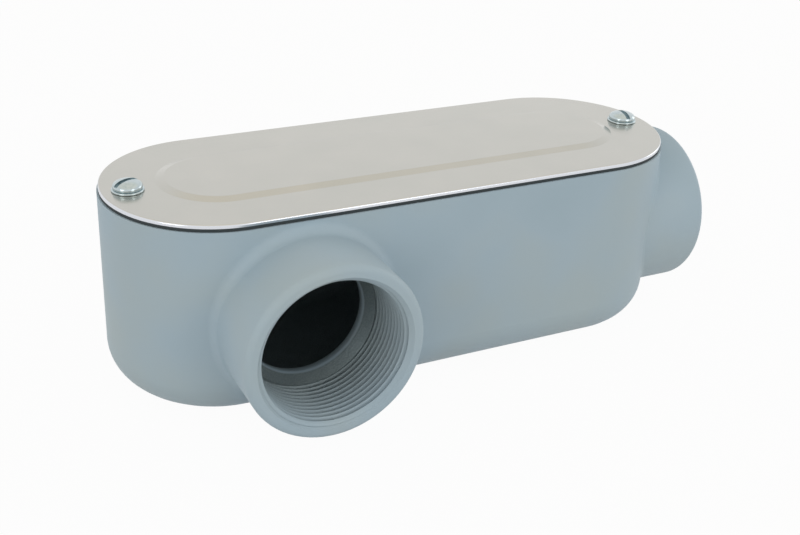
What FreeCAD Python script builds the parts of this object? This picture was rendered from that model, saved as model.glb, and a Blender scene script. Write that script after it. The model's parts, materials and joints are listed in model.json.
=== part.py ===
import FreeCAD, Part
import math
import os

# Cast conduit body with two threaded hubs, for turning a run of 2-1/2 inch rigid
# conduit through a right angle: a round-ended trough, a hub on one end, a hub on one
# side, and a stamped cover held on a gasket by two slotted screws.
#
# All sizes are in millimetres. The origin is the centre of the trough's flat bottom.
# +X runs along the trough to the end hub, the side hub faces -Y, +Z is out of the cover.

# ---- Hub sockets: a tapped bore that ends at a smooth bushing cast in one with it
thread_diameter = 72.7          # major diameter of the tapped wall
thread_depth = 31.4             # face of the hub to the end of the tapped wall
mouth_chamfer = 0.8             # lead-in at the hub's mouth
funnel_diameter = 65.6          # wide end of the bushing, just past the thread
funnel_length = 5.2             # thread to the bushing's throat
bushing_diameter = 58.2         # throat that the wires are drawn over
end_bushing_length = 11.0
side_bushing_lip = 1.5          # side hub's bushing, proud of the trough's inner wall
throat_front_round = 3.0        # where the funnel turns into the throat
bushing_round = 1.8             # rounding of the bushing's inner end
hub_wall = 6.15                 # metal outside the thread
hub_face_round = 3.0            # rounding of the hub's outer front edge

# ---- Trough, sized round its hubs
hub_floor_gap = 6.9             # underside of the trough to the hub's lowest line
hub_rim_gap = 5.6               # hub's highest line to the trough's rim
hub_side_gap = 11.0             # hub's side to the trough's side, seen along the run
straight_length = 191.8         # between the centres of the two rounded ends
wall = 4.5
bottom_round = 21.0             # large rounding all round the bottom
end_hub_reach = 18.1            # hub face beyond the trough's end
side_hub_reach = 36.0           # hub face beyond the trough's side
side_hub_from_end = 78.3        # closed end of the trough to the side hub's axis
end_hub_blend = 3.3             # fillet where the end hub meets the trough
side_hub_blend = 5.0            # fillet where the side hub meets the trough
socket_inner_round = 2.0        # rounding of each socket's end inside the trough

# ---- Screw bosses inside the rim
boss_width = 16.0
boss_depth = 22.5               # rim down to the lowest point of a boss
boss_slope = 45.0               # degrees, underside of a boss to the vertical
tapped_depth = 11.0

# ---- Gasket
gasket_thickness = 1.6
gasket_inset = 0.8              # gasket's edge inside the trough's side
gasket_width = 6.5
gasket_pad_diameter = 19.0      # round pads that carry the screw holes

# ---- Cover, stamped from one sheet with a raised panel
cover_thickness = 1.7
cover_inset = 0.7               # cover's edge inside the trough's side
cover_edge_round = 0.8
panel_side_margin = 23.8        # cover's long edge to the foot of the panel's slope
panel_end_margin = 25.8         # cover's end to the foot of the panel's slope
panel_rise = 1.3
panel_slope_width = 4.3
panel_crease_round = 1.9
hole_clearance = 0.45           # round the screw, in the cover and the gasket

# ---- Cover screws, 5/16 inch slotted round heads, half an inch long
screw_from_end = 13.0           # trough's end to the screw's axis
screw_diameter = 7.9
screw_length = 12.7
screw_point_chamfer = 0.8
thread_clearance = 0.08         # round the shank in its tapped hole
head_diameter = 14.0
head_height = 5.2
head_side_height = 1.0
slot_width = 2.0
slot_depth = 2.9
closed_end_slot_angle = 20.0    # degrees from the run, as left by the screwdriver
hub_end_slot_angle = 85.0

# ---- Sizes that follow from those above
thread_radius = thread_diameter / 2
bushing_radius = bushing_diameter / 2
hub_radius = thread_radius + hub_wall
socket_radius = thread_radius + wall
end_socket_length = thread_depth + end_bushing_length
side_socket_length = side_hub_reach + wall + side_bushing_lip

trough_height = hub_floor_gap + 2 * hub_radius + hub_rim_gap
trough_radius = hub_radius + hub_side_gap
trough_end = straight_length / 2 + trough_radius
hub_axis_height = hub_floor_gap + hub_radius

end_hub_face = trough_end + end_hub_reach
side_hub_face = trough_radius + side_hub_reach
side_hub_station = side_hub_from_end - trough_end

gasket_bottom = trough_height
cover_bottom = gasket_bottom + gasket_thickness
cover_top = cover_bottom + cover_thickness
cover_radius = trough_radius - cover_inset
screw_station = trough_end - screw_from_end
screw_hole_radius = screw_diameter / 2 + hole_clearance

panel_foot_radius = cover_radius - panel_side_margin
panel_foot_end = trough_end - cover_inset - panel_end_margin

overcut = 2.0                   # how far a cutting solid stands past the metal


def vec(x, y, z):
    return FreeCAD.Vector(x, y, z)


def round_ended(half, radius, z):
    """Wire of two straight sides and two half circles, at height z."""
    near_start = vec(-half, -radius, z)
    near_end = vec(half, -radius, z)
    far_start = vec(half, radius, z)
    far_end = vec(-half, radius, z)
    hub_end = Part.Arc(near_end, vec(half + radius, 0, z), far_start)
    closed_end = Part.Arc(far_end, vec(-half - radius, 0, z), near_start)
    return Part.Wire([
        Part.LineSegment(near_start, near_end).toShape(),
        hub_end.toShape(),
        Part.LineSegment(far_start, far_end).toShape(),
        closed_end.toShape(),
    ])


def stadium(radius, z):
    """Outline parallel to the trough's own, with the same centres for its round ends."""
    return round_ended(straight_length / 2, radius, z)


def prism(wire, height):
    return Part.Face(wire).extrude(vec(0, 0, height))


def edges_at_height(shape, z):
    """Edges that lie in the horizontal plane at height z."""
    return [e for e in shape.Edges
            if abs(e.BoundBox.ZMin - z) < 1e-4 and abs(e.BoundBox.ZMax - z) < 1e-4]


def revolved(edges):
    """Full turn about the local Z axis of a half profile drawn in the XZ plane."""
    face = Part.Face(Part.Wire(edges))
    return face.revolve(vec(0, 0, 0), vec(0, 0, 1), 360)


def segment(a, b):
    return Part.LineSegment(vec(a[0], 0, a[1]), vec(b[0], 0, b[1])).toShape()


def quarter(a, centre, b):
    """Quarter circle from a to b in the XZ plane, about the centre given."""
    ax, az = a[0] - centre[0], a[1] - centre[1]
    bx, bz = b[0] - centre[0], b[1] - centre[1]
    radius = math.hypot(ax, az)
    size = math.hypot(ax + bx, az + bz)
    middle = vec(centre[0] + (ax + bx) / size * radius, 0,
                 centre[1] + (az + bz) / size * radius)
    return Part.Arc(vec(a[0], 0, a[1]), middle, vec(b[0], 0, b[1])).toShape()


def at_end_hub(shape):
    """Move a socket shape, drawn with its face at z = 0 and facing +Z, to the end hub."""
    turn = FreeCAD.Rotation(vec(0, 0, 1), vec(1, 0, 0))
    return placed(shape, vec(end_hub_face, 0, hub_axis_height), turn)


def at_side_hub(shape):
    """Move a socket shape, drawn with its face at z = 0 and facing +Z, to the side hub."""
    turn = FreeCAD.Rotation(vec(0, 0, 1), vec(0, -1, 0))
    return placed(shape, vec(side_hub_station, -side_hub_face, hub_axis_height), turn)


def placed(shape, position, turn):
    moved = shape.copy()
    moved.Placement = FreeCAD.Placement(position, turn)
    return moved


# ---- Body casting

def hub_outside(length):
    """Hub's outer cylinder with its rounded front edge."""
    corner = hub_face_round
    return revolved([
        segment((0, 0), (hub_radius - corner, 0)),
        quarter((hub_radius - corner, 0), (hub_radius - corner, -corner),
                (hub_radius, -corner)),
        segment((hub_radius, -corner), (hub_radius, -length)),
        segment((hub_radius, -length), (0, -length)),
        segment((0, -length), (0, 0)),
    ])


def socket_inside(length):
    """Metal round a socket where it stands into the trough."""
    corner = socket_inner_round
    return revolved([
        segment((0, 0), (socket_radius, 0)),
        segment((socket_radius, 0), (socket_radius, corner - length)),
        quarter((socket_radius, corner - length), (socket_radius - corner, corner - length),
                (socket_radius - corner, -length)),
        segment((socket_radius - corner, -length), (0, -length)),
        segment((0, -length), (0, 0)),
    ])


def socket_bore(length):
    """Space inside a hub: chamfered mouth, tapped wall, funnel, throat with rounded ends."""
    mouth = thread_radius + mouth_chamfer + overcut
    lip = bushing_radius + bushing_round
    throat_start = -thread_depth - funnel_length
    throat_end = bushing_round - length
    bore = revolved([
        segment((0, overcut), (mouth, overcut)),
        segment((mouth, overcut), (thread_radius, -mouth_chamfer)),
        segment((thread_radius, -mouth_chamfer), (thread_radius, -thread_depth)),
        segment((thread_radius, -thread_depth), (funnel_diameter / 2, -thread_depth)),
        segment((funnel_diameter / 2, -thread_depth), (bushing_radius, throat_start)),
        segment((bushing_radius, throat_start), (bushing_radius, throat_end)),
        quarter((bushing_radius, throat_end), (lip, throat_end), (lip, -length)),
        segment((lip, -length), (lip, -length - overcut)),
        segment((lip, -length - overcut), (0, -length - overcut)),
        segment((0, -length - overcut), (0, overcut)),
    ])
    return bore.makeFillet(throat_front_round, edges_at_height(bore, throat_start))


def blend_edges(shape, axis, station):
    """Edges where a hub's cylinder, along the axis given, meets the trough."""
    found = []
    for face in shape.Faces:
        surface = face.Surface
        if not isinstance(surface, Part.Cylinder):
            continue
        if abs(surface.Radius - hub_radius) > 1e-4 or abs(surface.Axis.dot(axis)) < 0.999:
            continue
        for edge in face.Edges:
            on_front = abs(edge.BoundBox.Center.dot(axis) - station) < 1e-3
            if not on_front and not edge.isSeam(face):
                found.append(edge)
    return found


def trough_outside():
    """Outer form of the casting, with its hubs blended in and no cavity yet."""
    block = prism(stadium(trough_radius, 0), trough_height)
    block = block.makeFillet(bottom_round, edges_at_height(block, 0))
    end_hub = at_end_hub(hub_outside(end_hub_reach + trough_radius))
    side_hub = at_side_hub(hub_outside(side_hub_reach + trough_radius))
    solid = block.fuse([end_hub, side_hub]).removeSplitter()
    end_front = end_hub_face - hub_face_round
    solid = solid.makeFillet(end_hub_blend, blend_edges(solid, vec(1, 0, 0), end_front))
    side_front = side_hub_face - hub_face_round
    return solid.makeFillet(side_hub_blend, blend_edges(solid, vec(0, -1, 0), side_front))


def screw_boss(side):
    """Boss that joins a cover screw's hole to the end wall; side is -1 or 1 along X."""
    half = boss_width / 2
    reach = screw_from_end
    plan = Part.makeBox(reach, boss_width, boss_depth, vec(0, -half, -boss_depth))
    plan = plan.fuse(Part.makeCylinder(half, boss_depth, vec(0, 0, -boss_depth)))
    drop = (reach + half) / math.tan(math.radians(boss_slope))
    shelf = max(boss_depth - drop, tapped_depth)
    outline = Part.makePolygon([
        vec(-half, -half, 0),
        vec(-half, -half, -shelf),
        vec(reach, -half, -boss_depth),
        vec(reach, -half, 0),
        vec(-half, -half, 0),
    ])
    boss = plan.common(Part.Face(outline).extrude(vec(0, boss_width, 0)))
    if side < 0:
        boss.rotate(vec(0, 0, 0), vec(0, 0, 1), 180)
    boss.translate(vec(side * screw_station, 0, trough_height))
    return boss


def body_casting():
    core = prism(stadium(trough_radius - wall, wall), trough_height - wall + overcut)
    core = core.makeFillet(bottom_round - wall, edges_at_height(core, wall))
    cavity = core.cut([
        at_end_hub(socket_inside(end_socket_length)),
        at_side_hub(socket_inside(side_socket_length)),
        screw_boss(-1),
        screw_boss(1),
    ])
    body = trough_outside().cut(cavity)
    tapped = [
        Part.makeCylinder(screw_diameter / 2 + thread_clearance, tapped_depth + overcut,
                          vec(side * screw_station, 0, trough_height - tapped_depth))
        for side in (-1, 1)
    ]
    bores = [
        at_end_hub(socket_bore(end_socket_length)),
        at_side_hub(socket_bore(side_socket_length)),
    ]
    return body.cut(bores + tapped)


# ---- Cover and its gasket

def screw_holes(z, height):
    return [
        Part.makeCylinder(screw_hole_radius, height, vec(side * screw_station, 0, z))
        for side in (-1, 1)
    ]


def cover_gasket():
    """Flat ring on the rim, widened to a round pad at each screw."""
    outside = prism(stadium(trough_radius - gasket_inset, gasket_bottom), gasket_thickness)
    inside = prism(stadium(trough_radius - gasket_inset - gasket_width,
                           gasket_bottom - overcut), gasket_thickness + 2 * overcut)
    pads = [
        Part.makeCylinder(gasket_pad_diameter / 2, gasket_thickness,
                          vec(side * screw_station, 0, gasket_bottom))
        for side in (-1, 1)
    ]
    ring = outside.cut(inside)
    ring = ring.fuse([pad.common(outside) for pad in pads]).removeSplitter()
    return ring.cut(screw_holes(gasket_bottom - overcut, gasket_thickness + 2 * overcut))


def raised_panel(z):
    """Low mound with sloping sides, standing on the plane at height z."""
    half = panel_foot_end - panel_foot_radius
    foot = round_ended(half, panel_foot_radius, z)
    top = round_ended(half, panel_foot_radius - panel_slope_width, z + panel_rise)
    return Part.makeLoft([foot, top], True, True)


def cover():
    """Stamped sheet: the panel is raised, and hollow underneath by the same amount."""
    sheet = prism(stadium(cover_radius, cover_bottom), cover_thickness)
    sheet = sheet.makeFillet(cover_edge_round, edges_at_height(sheet, cover_top))
    stamped = sheet.fuse(raised_panel(cover_top)).removeSplitter()
    between = (panel_foot_radius + cover_radius) / 2
    creases = [e for e in edges_at_height(stamped, cover_top)
               if -between < e.BoundBox.YMin and e.BoundBox.YMax < between]
    creases += edges_at_height(stamped, cover_top + panel_rise)
    stamped = stamped.makeFillet(panel_crease_round, creases)
    holes = screw_holes(cover_bottom - overcut, cover_thickness + 2 * overcut)
    return stamped.cut([raised_panel(cover_bottom)] + holes)


# ---- Cover screws

def cover_screw(side, slot_angle):
    """Slotted round-head screw seated on the cover."""
    shank = screw_diameter / 2
    head = head_diameter / 2
    point = screw_point_chamfer
    crown = Part.Arc(vec(head, 0, head_side_height),
                     vec(*dome_middle(head, head_side_height, head_height)),
                     vec(0, 0, head_height))
    screw = revolved([
        segment((0, -screw_length), (shank - point, -screw_length)),
        segment((shank - point, -screw_length), (shank, point - screw_length)),
        segment((shank, point - screw_length), (shank, 0)),
        segment((shank, 0), (head, 0)),
        segment((head, 0), (head, head_side_height)),
        crown.toShape(),
        segment((0, head_height), (0, -screw_length)),
    ])
    slot = Part.makeBox(2 * head_diameter, slot_width, slot_depth + overcut,
                        vec(-head_diameter, -slot_width / 2, head_height - slot_depth))
    slot.rotate(vec(0, 0, 0), vec(0, 0, 1), slot_angle)
    screw = screw.cut(slot)
    screw.translate(vec(side * screw_station, 0, cover_top))
    return screw


def dome_middle(radius, low, high):
    """Point half way up the circular dome that spans from (radius, low) to (0, high)."""
    rise = high - low
    sphere = (radius * radius + rise * rise) / (2 * rise)
    angle = math.asin(radius / sphere) / 2
    return (sphere * math.sin(angle), 0, high - sphere * (1 - math.cos(angle)))


parts = {
    "body_casting": body_casting(),
    "cover_gasket": cover_gasket(),
    "cover": cover(),
    "cover_screw_closed_end": cover_screw(-1, closed_end_slot_angle),
    "cover_screw_hub_end": cover_screw(1, hub_end_slot_angle),
}

os.makedirs("parts", exist_ok=True)
for name, shape in parts.items():
    shape.exportStep("parts/" + name + ".step")
    print(name, len(shape.Solids), "solid", round(shape.Volume), "mm3")
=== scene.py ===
import json
import math

import bpy
import numpy as np
from mathutils import Matrix, Vector


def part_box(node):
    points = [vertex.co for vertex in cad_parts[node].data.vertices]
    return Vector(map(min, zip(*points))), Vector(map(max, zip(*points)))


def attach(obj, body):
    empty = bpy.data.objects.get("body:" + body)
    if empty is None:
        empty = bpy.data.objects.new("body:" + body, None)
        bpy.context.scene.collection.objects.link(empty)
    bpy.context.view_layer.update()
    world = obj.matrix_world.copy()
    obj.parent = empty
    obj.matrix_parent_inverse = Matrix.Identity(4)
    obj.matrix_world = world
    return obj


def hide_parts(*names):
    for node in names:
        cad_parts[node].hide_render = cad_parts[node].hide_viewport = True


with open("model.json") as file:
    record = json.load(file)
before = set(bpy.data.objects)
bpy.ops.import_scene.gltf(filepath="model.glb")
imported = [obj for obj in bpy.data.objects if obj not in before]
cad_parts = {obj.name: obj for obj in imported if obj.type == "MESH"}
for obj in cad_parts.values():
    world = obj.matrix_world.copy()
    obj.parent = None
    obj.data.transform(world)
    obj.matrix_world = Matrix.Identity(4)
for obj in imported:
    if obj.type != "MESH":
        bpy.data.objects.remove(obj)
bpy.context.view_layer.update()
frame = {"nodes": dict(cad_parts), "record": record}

scene = bpy.context.scene
scene.view_settings.view_transform = "Standard"

# ---- Body casting
# The trough, its two hubs and the bushings inside them are one aluminium die casting.
# It is powder coated grey and baked after the hubs are tapped. The chamber and the bushings
# show dark bare casting: bare metal in the bushings, painted shade in the chamber; the
# bushings' lips carry a painted highlight.

MM = 0.001
COAT_GREY = "#A6B9C4"
COAT_GREY_WARM = "#AAB9BE"
COAT_GREY_DEEP = "#A1B5C0"
COAT_ROUGHNESS = 0.55
COAT_ROUGHNESS_SPREAD = 0.05
COAT_PATCH = 60.0 * MM
# Noise levels from which and to which the shade turns warmer, and turns deeper.
COAT_WARM_BAND = (0.45, 0.7)
COAT_DEEP_BAND = (0.48, 0.25)
COAT_RIPPLE = 9.0 * MM
COAT_RIPPLE_HEIGHT = 0.05 * MM
COAT_PEEL = 1.1 * MM
COAT_PEEL_HEIGHT = 0.02 * MM
COAT_IOR = 1.5
# Bare casting colours, dark enough to be painted shade in the chamber and down the threads.
BARE_ALUMINIUM = "#8C999C"
BARE_ALUMINIUM_DULL = "#606D70"
BARE_METALLIC = 0.45
BARE_ROUGHNESS = 0.4
CAST_GRIT = 0.9 * MM
CAST_GRIT_HEIGHT = 0.25 * MM


def linear(code):
    """Linear colour of an sRGB hex code: a straight line near black, a 2.4 power above it."""
    part = np.array([int(code[i:i + 2], 16) for i in (1, 3, 5)]) / 255
    value = np.where(part <= 0.04045, part / 12.92, ((part + 0.055) / 1.055) ** 2.4)
    return (*value.tolist(), 1.0)


def add(tree, kind, inputs=None, **settings):
    """Add a shader node: settings are its properties, inputs its socket values or links."""
    node = tree.nodes.new("ShaderNode" + kind)
    for name, value in settings.items():
        setattr(node, name, value)
    for name, value in (inputs or {}).items():
        if isinstance(value, bpy.types.NodeSocket):
            tree.links.new(value, node.inputs[name])
        else:
            node.inputs[name].default_value = value
    return node


def empty_material(name):
    """New material with no nodes yet; gives the material, its tree and Object coordinates."""
    material = bpy.data.materials.new(name)
    material.use_nodes = True
    material.node_tree.nodes.clear()
    where = add(material.node_tree, "TexCoord").outputs["Object"]
    return material, material.node_tree, where


def noise(tree, where, grain, detail, roughness=0.5):
    """Noise from 0 to 1 whose grains are as wide as the size given."""
    return add(tree, "TexNoise", {"Vector": where, "Scale": 1 / grain, "Detail": detail,
                                  "Roughness": roughness}).outputs[0]


def between(tree, share, first, second):
    """Colour that goes from the first, at share 0, to the second, at share 1."""
    return add(tree, "Mix", {0: share, 6: first, 7: second}, data_type="RGBA").outputs[2]


def powder_coat(tree, where, roughness):
    """Polyester powder, sprayed dry and baked: satin, with a faint ripple where it flowed
    and fine peel, and a shade that drifts a little from place to place."""
    drift = noise(tree, where, COAT_PATCH, 2.0)
    warmer = add(tree, "MapRange", {0: drift, 1: COAT_WARM_BAND[0], 2: COAT_WARM_BAND[1]})
    deeper = add(tree, "MapRange", {0: drift, 1: COAT_DEEP_BAND[0], 2: COAT_DEEP_BAND[1]})
    tint = between(tree, warmer.outputs[0], linear(COAT_GREY), linear(COAT_GREY_WARM))
    shade = between(tree, deeper.outputs[0], tint, linear(COAT_GREY_DEEP))
    ripple = noise(tree, where, COAT_RIPPLE, 1.0)
    peel = noise(tree, where, COAT_PEEL, 2.0, 0.6)
    flow = add(tree, "Bump", {"Strength": 0.5, "Distance": COAT_RIPPLE_HEIGHT,
                              "Height": ripple})
    skin = add(tree, "Bump", {"Strength": 0.35, "Distance": COAT_PEEL_HEIGHT,
                              "Height": peel, "Normal": flow.outputs[0]})
    gloss = add(tree, "MapRange", {0: peel, 3: roughness - COAT_ROUGHNESS_SPREAD,
                                   4: roughness + COAT_ROUGHNESS_SPREAD})
    return add(tree, "BsdfPrincipled", {
        "Base Color": shade, "Roughness": gloss.outputs[0], "IOR": COAT_IOR,
        "Normal": skin.outputs[0]})


def bare_casting_and_painted_shade(tree, where):
    """Aluminium as it left the mould: dull and gritty, a metal only in its reflections. Its
    dark shade also stands in as painted shade in the chamber and down the threads.
    """
    grit = noise(tree, where, CAST_GRIT, 3.0, 0.65)
    shade = between(tree, grit, linear(BARE_ALUMINIUM_DULL), linear(BARE_ALUMINIUM))
    rough = add(tree, "Bump", {"Strength": 0.9, "Distance": CAST_GRIT_HEIGHT,
                               "Height": grit})
    return add(tree, "BsdfPrincipled", {
        "Base Color": shade, "Metallic": BARE_METALLIC, "Roughness": BARE_ROUGHNESS,
        "Normal": rough.outputs[0]})


body_low, body_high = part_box("body_casting")
mounts = {m["name"]: m for m in frame["record"]["mounts"]}
side_hub_x, _, hub_z = mounts["side_hub_thread"]["pos_m"]
trough_half_width = body_high.y
trough_half_run = -body_low.x - trough_half_width
WALL = 4.5 * MM
BOTTOM_ROUND = 21.0 * MM
RIM_MARGIN = 0.1 * MM
THREAD_DEPTH = 31.4 * MM
THREAD_END_MARGIN = 0.05 * MM
BUSHING_REACH = 36.2 * MM
SOCKET_REACH = 80.0 * MM
# Depths from the hub's face between which the bushing's front lip turns to the paler coat, a
# painted highlight, and between which that fades again, with the shares of coat that stay on
# the lip and in the throat.
LIP_HIGHLIGHT_RISES = (35.8 * MM, 36.6 * MM)
LIP_HIGHLIGHT_FADES = (37.4 * MM, 41.0 * MM)
LIP_HIGHLIGHT_SHARE = 0.85
THROAT_HIGHLIGHT_SHARE = 0.1


def inside_mask(tree, where):
    """1 in the chamber and in both bushings, 0 on all outer faces: the bushings show bare
    metal, the chamber's dark bare metal is painted shade, and the bushings' lips are turned
    back towards the coat as a painted highlight. The distance from a round-ended core is the
    root of s squared plus d squared, with s the distance beside the core and d the depth below
    the start of the bottom's rounding. The trough is what lies within that rounding's radius,
    and the chamber what lies half a wall nearer."""
    place = add(tree, "SeparateXYZ", {0: where})

    def calc(operation, *values):
        inputs = dict(enumerate(values))
        return add(tree, "Math", inputs, operation=operation).outputs[0]

    def distance(*sides):
        squares = [calc("POWER", side, 2) for side in sides]
        return calc("SQRT", calc("ADD", *squares))

    x, y, z = place.outputs
    past_straight = calc("MAXIMUM", calc("SUBTRACT", calc("ABSOLUTE", x), trough_half_run), 0)
    from_spine = distance(past_straight, y)
    core_half_width = trough_half_width - BOTTOM_ROUND
    aside = calc("MAXIMUM", calc("SUBTRACT", from_spine, core_half_width), 0)
    below = calc("MAXIMUM", calc("SUBTRACT", BOTTOM_ROUND, z), 0)
    in_trough = calc("LESS_THAN", distance(aside, below), BOTTOM_ROUND - WALL / 2)
    below_rim = calc("LESS_THAN", z, body_high.z - RIM_MARGIN)
    # Painted shade: the whole chamber takes the dark bare metal.
    bare_and_painted_shade = calc("MULTIPLY", in_trough, below_rim)
    side_axis = distance(calc("SUBTRACT", x, side_hub_x), calc("SUBTRACT", z, hub_z))
    side_depth = calc("SUBTRACT", y, body_low.y)
    end_axis = distance(y, calc("SUBTRACT", z, hub_z))
    end_depth = calc("SUBTRACT", body_high.x, x)
    for from_axis, depth in ((side_axis, side_depth), (end_axis, end_depth)):
        in_bore = calc("LESS_THAN", from_axis, BUSHING_REACH)
        past_thread = calc("GREATER_THAN", depth, THREAD_DEPTH - THREAD_END_MARGIN)
        in_socket = calc("LESS_THAN", depth, SOCKET_REACH)
        bushing = calc("MULTIPLY", calc("MULTIPLY", in_bore, past_thread), in_socket)
        # Painted highlight: each bushing's lip is turned back towards the paler coat.
        lip_highlight_rising = add(tree, "MapRange", {0: depth, 1: LIP_HIGHLIGHT_RISES[0], 2: LIP_HIGHLIGHT_RISES[1],
                                        4: LIP_HIGHLIGHT_SHARE})
        lip_highlight_fading = add(tree, "MapRange", {0: depth, 1: LIP_HIGHLIGHT_FADES[0], 2: LIP_HIGHLIGHT_FADES[1],
                                       3: 1.0, 4: THROAT_HIGHLIGHT_SHARE})
        painted_lip_highlight = calc("MULTIPLY", lip_highlight_rising.outputs[0], lip_highlight_fading.outputs[0])
        bare_and_painted_shade = calc("MAXIMUM", bare_and_painted_shade, bushing)
        bare_and_painted_shade = calc("SUBTRACT", bare_and_painted_shade, calc("MULTIPLY", bushing, painted_lip_highlight))
    return bare_and_painted_shade


# Satin grey outside, dull and gritty metal inside; in the chamber that darkness is painted
# shade, and the bushings' lips carry a painted highlight.
coated_casting, tree, where = empty_material("baked_powder_coat_on_cast_aluminium")
coat = powder_coat(tree, where, COAT_ROUGHNESS)
bare = bare_casting_and_painted_shade(tree, where)
both = add(tree, "MixShader", {0: inside_mask(tree, where), 1: coat.outputs[0],
                               2: bare.outputs[0]})
add(tree, "OutputMaterial", {"Surface": both.outputs[0]})
frame["nodes"]["body_casting"].data.materials[0] = coated_casting

# ---- Threads inside the two hubs
# Tapped with a slight taper, then coated, which rounds their crests. Towards the shoulder and
# in the roots they turn to dark bare metal, painted shade. They are cast in with the hubs:
# each is a ring buried in one.

THREAD_PITCH = 2.91 * MM
TAPPED_WALL = 36.35 * MM
MOUTH_CHAMFER = 0.8 * MM
CREST_AT_MOUTH = 34.2 * MM
CREST_TAPER = 1 / 32
THREAD_HEIGHT = 2.3 * MM
THREAD_START = math.radians(210)
THREAD_SHARPNESS = 0.93
THREAD_ROUGHNESS = 0.5
BEHIND_MOUTH = 0.2 * MM
BEHIND_CHAMFER = 0.15 * MM
CLEAR_OF_WALL = 0.05 * MM
PAST_SHOULDER = 0.3 * MM
BURIED = 0.6 * MM
STEPS_ROUND = 192
STEPS_A_TURN = 16
# Share of dark bare metal, painted shade, at the mouth, what it gains down to the shoulder,
# the power of the depth that the gain follows, and what it gains from a crest to a root.
PAINTED_SHADE_AT_MOUTH = -0.25
PAINTED_SHADE_BY_SHOULDER = 1.15
PAINTED_SHADE_POWER = 0.7
PAINTED_SHADE_IN_ROOTS = 0.2


def thread_surface(mouth, outward, sideways):
    """Radius as a function of the angle and the depth: the arcsine of a cosine whose phase
    gains one turn a pitch, never inside the cone of the chamfered mouth and just behind
    it at the mouth. Gives the ring's points and their share of dark bare metal, painted shade
    that deepens towards the shoulder and in the roots."""
    up = np.cross(outward, sideways)
    rows = int(THREAD_DEPTH / THREAD_PITCH * STEPS_A_TURN)
    depth = np.linspace(BEHIND_MOUTH, THREAD_DEPTH + PAST_SHOULDER, rows)[:, None]
    angle = np.linspace(0, 2 * math.pi, STEPS_ROUND, endpoint=False)[None, :]
    turn = 2 * math.pi * depth / THREAD_PITCH + angle - THREAD_START
    ridge = np.arcsin(THREAD_SHARPNESS * np.cos(turn)) / math.asin(THREAD_SHARPNESS)
    to_root = (1 - ridge) / 2
    crest = CREST_AT_MOUTH - CREST_TAPER * depth
    wall = np.minimum(crest + THREAD_HEIGHT * to_root, TAPPED_WALL - CLEAR_OF_WALL)
    hidden = np.where(depth < MOUTH_CHAMFER, BEHIND_CHAMFER, 0)
    radius = np.maximum(wall, TAPPED_WALL + MOUTH_CHAMFER - depth + hidden)
    # Painted shade: darker bare metal deeper in and in the thread roots.
    shade_by_depth = PAINTED_SHADE_BY_SHOULDER * (depth / THREAD_DEPTH) ** PAINTED_SHADE_POWER
    thread_painted_shade = np.clip(PAINTED_SHADE_AT_MOUTH + shade_by_depth + PAINTED_SHADE_IN_ROOTS * to_root, 0, 1)
    outer = np.full_like(angle, TAPPED_WALL + MOUTH_CHAMFER + BURIED)
    radius = np.vstack([radius, outer, outer])
    depth = np.vstack([depth, depth[-1:], depth[:1]])
    thread_painted_shade = np.vstack([thread_painted_shade, thread_painted_shade[-1:], thread_painted_shade[:1]])
    across = np.cos(angle)[..., None] * sideways + np.sin(angle)[..., None] * up
    return mouth - depth[..., None] * outward + radius[..., None] * across, thread_painted_shade


def ring_mesh(name, points):
    """Closed ring from a grid of points that wraps in both directions."""
    rows, columns = points.shape[:2]
    index = np.arange(rows * columns).reshape(rows, columns)
    below = np.roll(index, -1, axis=0)
    quads = np.stack([index, np.roll(index, -1, axis=1),
                      np.roll(below, -1, axis=1), below], axis=-1).reshape(-1, 4)
    mesh = bpy.data.meshes.new(name)
    mesh.from_pydata(points.reshape(-1, 3).tolist(), [], quads.tolist())
    mesh.shade_smooth()
    return mesh


# The hubs' satin grey, which turns to dull metal deeper in and in the roots, painted shade.
coated_thread, tree, where = empty_material("baked_powder_coat_on_thread")
coat = powder_coat(tree, where, THREAD_ROUGHNESS)
bare = bare_casting_and_painted_shade(tree, where)
shade_share = add(tree, "Attribute", attribute_name="thread_painted_shade")
both = add(tree, "MixShader", {0: shade_share.outputs["Fac"], 1: coat.outputs[0],
                               2: bare.outputs[0]})
add(tree, "OutputMaterial", {"Surface": both.outputs[0]})
hub_faces = {
    "end_hub_thread": (0, body_high.x, (0.0, 1.0, 0.0)),
    "side_hub_thread": (1, body_low.y, (1.0, 0.0, 0.0)),
}
for name, (axis, face, sideways) in hub_faces.items():
    outward = np.array(mounts[name]["axis"], float)
    mouth = np.array(mounts[name]["pos_m"], float)
    mouth[axis] = face
    points, thread_painted_shade = thread_surface(mouth, outward, np.array(sideways))
    thread = bpy.data.objects.new(name, ring_mesh(name, points))
    shade_attribute = thread.data.attributes.new("thread_painted_shade", "FLOAT", "POINT")
    shade_attribute.data.foreach_set("value", thread_painted_shade.ravel().astype(np.float32))
    scene.collection.objects.link(thread)
    thread.data.materials.append(coated_thread)
    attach(thread, "root")

# ---- Cover gasket
# A flat ring punched from black neoprene sheet, pressed between the rim and the cover.
# Only its edge shows, matt black, with the fine grain of cut rubber.

NEOPRENE_BLACK = "#252C2F"
NEOPRENE_BLOOM = "#384144"
NEOPRENE_ROUGHNESS = 0.75
RUBBER_GRAIN = 0.6 * MM
RUBBER_GRAIN_HEIGHT = 0.05 * MM

neoprene, tree, where = empty_material("black_neoprene_sheet")
grain = noise(tree, where, RUBBER_GRAIN, 3.0)
bloom = between(tree, grain, linear(NEOPRENE_BLACK), linear(NEOPRENE_BLOOM))
cut_face = add(tree, "Bump", {"Strength": 0.4, "Distance": RUBBER_GRAIN_HEIGHT,
                              "Height": grain})
shader = add(tree, "BsdfPrincipled", {"Base Color": bloom, "Roughness": NEOPRENE_ROUGHNESS,
                                      "Normal": cut_face.outputs[0]})
add(tree, "OutputMaterial", {"Surface": shader.outputs[0]})
frame["nodes"]["cover_gasket"].data.materials[0] = neoprene

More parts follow.
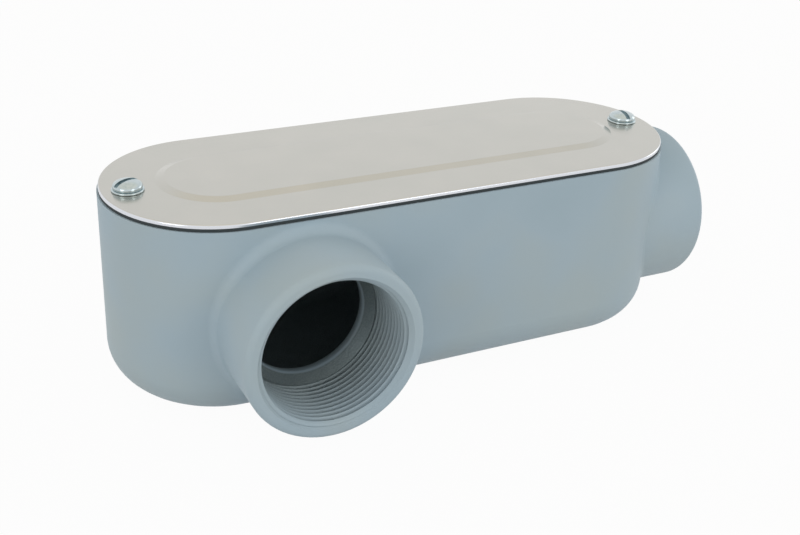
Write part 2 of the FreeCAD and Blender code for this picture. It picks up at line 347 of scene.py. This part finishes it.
# ---- Cover
# Stamped from one aluminium sheet and left bare: satin from the rolling mill, with a faint
# grain along the sheet and a cloudy shade. Below its top face it is painted paler, a painted
# highlight along its rim. Two screws hold it down.

SHEET_THICKNESS = 1.7 * MM
SHEET_GREY = "#BBBBB5"
SHEET_PALE = "#C4C2BC"
SHEET_CLOUD = 22.0 * MM
RIM_PAINTED_HIGHLIGHT = "#D8DBE1"
RIM_HIGHLIGHT_BELOW_TOP = (0.25 * MM, 0.05 * MM)
ROLLING_GRAIN = 0.5 * MM
ROLLING_STRETCH = 0.04
ROLLING_HEIGHT = 0.01 * MM
ROLLED_ROUGHNESS = (0.15, 0.25)

sheet, tree, where = empty_material("satin_rolled_aluminium_sheet")
along = add(tree, "Mapping", {"Vector": where, "Scale": (ROLLING_STRETCH, 1.0, 1.0)})
rolling = noise(tree, along.outputs[0], ROLLING_GRAIN, 4.0, 0.6)
cloud = noise(tree, where, SHEET_CLOUD, 3.0)
shade = between(tree, cloud, linear(SHEET_GREY), linear(SHEET_PALE))
height = add(tree, "SeparateXYZ", {0: where})
cover_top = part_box("cover_gasket")[1].z + SHEET_THICKNESS
# Painted highlight: the sheet turns paler below its top face, along the rim.
rim_highlight = add(tree, "MapRange", {0: height.outputs[2], 1: cover_top - RIM_HIGHLIGHT_BELOW_TOP[0],
                                   2: cover_top - RIM_HIGHLIGHT_BELOW_TOP[1], 3: 1.0, 4: 0.0})
sheet_and_rim_highlight = between(tree, rim_highlight.outputs[0], shade, linear(RIM_PAINTED_HIGHLIGHT))
gloss = add(tree, "MapRange", {0: rolling, 3: ROLLED_ROUGHNESS[0], 4: ROLLED_ROUGHNESS[1]})
mill = add(tree, "Bump", {"Strength": 0.25, "Distance": ROLLING_HEIGHT, "Height": rolling})
shader = add(tree, "BsdfPrincipled", {"Base Color": sheet_and_rim_highlight, "Metallic": 1.0,
                                      "Roughness": gloss.outputs[0],
                                      "Normal": mill.outputs[0]})
add(tree, "OutputMaterial", {"Surface": shader.outputs[0]})
frame["nodes"]["cover"].data.materials[0] = sheet

# ---- Cover screws
# Two steel screws, their domed heads upset from wire on a thin rolled flange, slotted by a
# saw and bright zinc plated: pale and faintly blue, with small sharp highlights. They are
# turned down on the cover, each to its own angle.

SCREW_LENGTH = 12.7 * MM
SHANK_RADIUS = 3.95 * MM
POINT_CHAMFER = 0.8 * MM
FLANGE_RADIUS = 7.6 * MM
FLANGE_THICKNESS = 1.0 * MM
NECK_RADIUS = 6.4 * MM
NECK_START = 0.15
HEAD_RADIUS = 6.9 * MM
HEAD_WIDEST = 2.0 * MM
HEAD_HEIGHT = 5.13 * MM
SLOT_WIDTH = 2.3 * MM
SLOT_DEPTH = 2.3 * MM
SLOT_EDGE = 0.35 * MM
SLOT_ANGLES = {"closed_end": 20.0, "hub_end": 85.0}
FLANGE_STEPS, NECK_STEPS, DOME_STEPS, STEPS_A_SCREW = 13, 8, 25, 96
SHARP_FROM = math.radians(40)
BEVEL_FROM = math.radians(50)
ZINC_GREY = "#A3B3B9"
ZINC_PALE = "#D3DBDC"
ZINC_ROUGHNESS = (0.14, 0.24)
ZINC_CLOUD = 1.6 * MM
ZINC_CLOUD_HEIGHT = 0.05 * MM


def screw_profile():
    """Radius and height from the point's rim to the crown: straight shank, half a circle for
    the flange, a quarter ellipse out of the neck, from the start angle in radians where it
    leaves the flange, and a quarter ellipse over the dome."""
    half = FLANGE_THICKNESS / 2
    roll = np.linspace(-math.pi / 2, math.pi / 2, FLANGE_STEPS)
    flange = np.stack([FLANGE_RADIUS - half + half * np.cos(roll),
                       half + half * np.sin(roll)], axis=1)
    rise = np.linspace(NECK_START, math.pi / 2, NECK_STEPS)[:-1]
    under = np.stack([NECK_RADIUS + (HEAD_RADIUS - NECK_RADIUS) * np.sin(rise),
                      HEAD_WIDEST - (HEAD_WIDEST - FLANGE_THICKNESS) * np.cos(rise)], axis=1)
    over = np.linspace(0, math.pi / 2, DOME_STEPS)[:-1]
    dome = np.stack([HEAD_RADIUS * np.cos(over),
                     HEAD_WIDEST + (HEAD_HEIGHT - HEAD_WIDEST) * np.sin(over)], axis=1)
    shank = np.array([(SHANK_RADIUS - POINT_CHAMFER, -SCREW_LENGTH),
                      (SHANK_RADIUS, POINT_CHAMFER - SCREW_LENGTH), (SHANK_RADIUS, 0)])
    return np.vstack([shank, flange, under, dome])


def turned_mesh(name, profile, low, high):
    """Profile carried once round the Z axis, closed by a fan to the axis at both ends."""
    angle = np.linspace(0, 2 * math.pi, STEPS_A_SCREW, endpoint=False)
    ring = np.stack([profile[:, :1] * np.cos(angle), profile[:, :1] * np.sin(angle),
                     np.repeat(profile[:, 1:], STEPS_A_SCREW, axis=1)], axis=-1)
    index = np.arange(len(profile) * STEPS_A_SCREW).reshape(-1, STEPS_A_SCREW)
    beside = np.roll(index, -1, axis=1)
    quads = np.stack([index[:-1], beside[:-1], beside[1:], index[1:]], axis=-1)
    foot = np.full(STEPS_A_SCREW, index.size)
    crown = foot + 1
    bottom = np.stack([beside[0], index[0], foot], axis=-1)
    top = np.stack([index[-1], beside[-1], crown], axis=-1)
    points = np.vstack([ring.reshape(-1, 3), [(0, 0, low), (0, 0, high)]])
    mesh = bpy.data.meshes.new(name)
    mesh.from_pydata(points.tolist(), [], quads.reshape(-1, 4).tolist() + bottom.tolist()
                     + top.tolist())
    return mesh


def sawn_slot(angle):
    """Box as wide as the saw and longer than the head, turned to the slot's angle."""
    x, y, z = np.meshgrid((-2, 2), (-0.5, 0.5), (0, 2), indexing="ij")
    corners = np.stack([x * HEAD_RADIUS, y * SLOT_WIDTH,
                        HEAD_HEIGHT - SLOT_DEPTH + z * SLOT_DEPTH], axis=-1).reshape(-1, 3)
    mesh = bpy.data.meshes.new("slot")
    mesh.from_pydata(corners.tolist(), [],
                     [(0, 1, 3, 2), (4, 6, 7, 5), (0, 4, 5, 1), (2, 3, 7, 6),
                      (0, 2, 6, 4), (1, 5, 7, 3)])
    mesh.transform(Matrix.Rotation(math.radians(angle), 4, "Z"))
    return mesh


def slotted_screw(name, seat, angle):
    """Turned screw with its slot cut out, moved to its seat on the cover."""
    blank = turned_mesh(name, screw_profile(), -SCREW_LENGTH, HEAD_HEIGHT)
    screw = bpy.data.objects.new(name, blank)
    saw = bpy.data.objects.new("saw", sawn_slot(angle))
    for item in (screw, saw):
        scene.collection.objects.link(item)
    cut = screw.modifiers.new("slot", "BOOLEAN")
    cut.operation = "DIFFERENCE"
    cut.solver = "EXACT"
    cut.object = saw
    finished = screw.evaluated_get(bpy.context.evaluated_depsgraph_get())
    screw_mesh = bpy.data.meshes.new_from_object(finished)
    screw.modifiers.clear()
    screw.data = screw_mesh
    for spare in (saw.data, blank):
        bpy.data.meshes.remove(spare)
    screw_mesh.transform(Matrix.Translation(seat))
    screw_mesh.shade_smooth()
    screw_mesh.set_sharp_from_angle(angle=SHARP_FROM)
    edge = screw.modifiers.new("slot_edge", "BEVEL")
    edge.width = SLOT_EDGE
    edge.segments = 3
    edge.limit_method = "ANGLE"
    edge.angle_limit = BEVEL_FROM
    edge.harden_normals = True
    return screw


zinc, tree, where = empty_material("bright_zinc_plated_steel")
cloud = noise(tree, where, ZINC_CLOUD, 3.0, 0.6)
shade = between(tree, cloud, linear(ZINC_GREY), linear(ZINC_PALE))
gloss = add(tree, "MapRange", {0: cloud, 3: ZINC_ROUGHNESS[0], 4: ZINC_ROUGHNESS[1]})
uneven = add(tree, "Bump", {"Strength": 0.3, "Distance": ZINC_CLOUD_HEIGHT, "Height": cloud})
shader = add(tree, "BsdfPrincipled", {"Base Color": shade, "Metallic": 1.0,
                                      "Roughness": gloss.outputs[0],
                                      "Normal": uneven.outputs[0]})
add(tree, "OutputMaterial", {"Surface": shader.outputs[0]})
for end, angle in SLOT_ANGLES.items():
    node = "cover_screw_" + end
    low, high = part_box(node)
    seat = ((low.x + high.x) / 2, (low.y + high.y) / 2, low.z + SCREW_LENGTH)
    screw = slotted_screw("slotted_screw_" + end, seat, angle)
    screw.data.materials.append(zinc)
    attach(screw, "root")
    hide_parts(node)

# ---- Floor
# A plain pale board that the body stands on; it keeps a trace of the soft shadow under the
# body. It lies a hair below the flat bottom, so that the two faces never share a plane.

FLOOR_HALF = 6.0
FLOOR_DROP = 0.1 * MM
FLOOR_WHITE = "#CFCFCE"
FLOOR_GLOW = 0.96


def seen_directly(tree):
    """1 for a ray from the camera, from a mirror or through glass, 0 for one that lights."""
    ray = add(tree, "LightPath")
    mirrored = add(tree, "Math", {0: ray.outputs["Is Camera Ray"],
                                  1: ray.outputs["Is Glossy Ray"]}, operation="MAXIMUM")
    any_view = add(tree, "Math", {0: mirrored.outputs[0],
                                  1: ray.outputs["Is Transmission Ray"]},
                   operation="MAXIMUM")
    return any_view.outputs[0]


floor_mesh = bpy.data.meshes.new("floor")
floor_corners = [(-1, -1, 0), (1, -1, 0), (1, 1, 0), (-1, 1, 0)]
floor_mesh.from_pydata(floor_corners, [], [(0, 1, 2, 3)])
floor_mesh.transform(Matrix.Translation((0, 0, -FLOOR_DROP)) @ Matrix.Scale(FLOOR_HALF, 4))
floor = bpy.data.objects.new("floor", floor_mesh)
scene.collection.objects.link(floor)
# Evenly white to the eye: a small share of plain board keeps the light and the shadow.
pale, tree, where = empty_material("matt_white_board")
lit = add(tree, "BsdfDiffuse", {"Color": linear(FLOOR_WHITE)})
glow = add(tree, "Emission", {"Color": (1, 1, 1, 1), "Strength": 1.0})
seen = add(tree, "Math", {0: seen_directly(tree), 1: FLOOR_GLOW}, operation="MULTIPLY")
board = add(tree, "MixShader", {0: seen.outputs[0], 1: lit.outputs[0], 2: glow.outputs[0]})
add(tree, "OutputMaterial", {"Surface": board.outputs[0]})
floor.data.materials.append(pale)

# ---- Studio light
# Three square soft boxes, to the left, in front and to the right, stand in a pale room
# whose ceiling is dimmer and a little warmer than its walls.

BOX_SIDE = 0.6
BOX_AIM = Vector((0, 0, 0.05))
WALLS_LEVEL = 1.0
CEILING_LEVEL = 0.6
CEILING_TINT = (0.99, 0.95, 0.86, 1)
# Heights, as the sine of the elevation, from which and to which the ceiling's tint comes in.
CEILING_BAND = (0.6, 0.85)


def soft_box(name, place, watts):
    """Square area lamp at a place, turned to the body."""
    light = bpy.data.lights.new(name, "AREA")
    light.shape = "RECTANGLE"
    light.size = BOX_SIDE
    light.size_y = BOX_SIDE
    light.energy = watts
    lamp = bpy.data.objects.new(name, light)
    lamp.location = place
    lamp.rotation_euler = (BOX_AIM - Vector(place)).to_track_quat("-Z", "Y").to_euler()
    scene.collection.objects.link(lamp)


soft_box("left_box", (-1.4, -0.8, 0.6), 2.5)
soft_box("front_box", (0.6, -1.6, 0.6), 2.5)
soft_box("right_box", (1.5, 0.1, 0.4), 1.3)

world = bpy.data.worlds.new("pale_room")
scene.world = world
world.use_nodes = True
tree = world.node_tree
tree.nodes.clear()
toward = add(tree, "SeparateXYZ", {0: add(tree, "TexCoord").outputs["Generated"]})
lighting = add(tree, "MapRange", {0: toward.outputs[2], 3: WALLS_LEVEL, 4: CEILING_LEVEL})
level = add(tree, "MapRange", {0: seen_directly(tree), 3: lighting.outputs[0], 4: 1.0})
overhead = add(tree, "MapRange", {0: toward.outputs[2], 1: CEILING_BAND[0],
                                  2: CEILING_BAND[1]})
tint = between(tree, overhead.outputs[0], (1, 1, 1, 1), CEILING_TINT)
room = add(tree, "Background", {"Color": tint, "Strength": level.outputs[0]})
add(tree, "OutputWorld", {"Surface": room.outputs[0]})

# ---- Camera
# It stands in front and to the left, above the cover, with its lens shifted off centre.

CAMERA_PLACE = (-0.25019, -0.47035, 0.30607)
CAMERA_TURN = (63.423, -1.840, -24.914)

lens = bpy.data.cameras.new("camera")
lens.sensor_width = 36.0
lens.lens = 51.43
lens.shift_x = 0.0587
lens.shift_y = -0.0095
camera = bpy.data.objects.new("camera", lens)
camera.location = CAMERA_PLACE
camera.rotation_euler = [math.radians(turned) for turned in CAMERA_TURN]
scene.collection.objects.link(camera)
scene.camera = camera
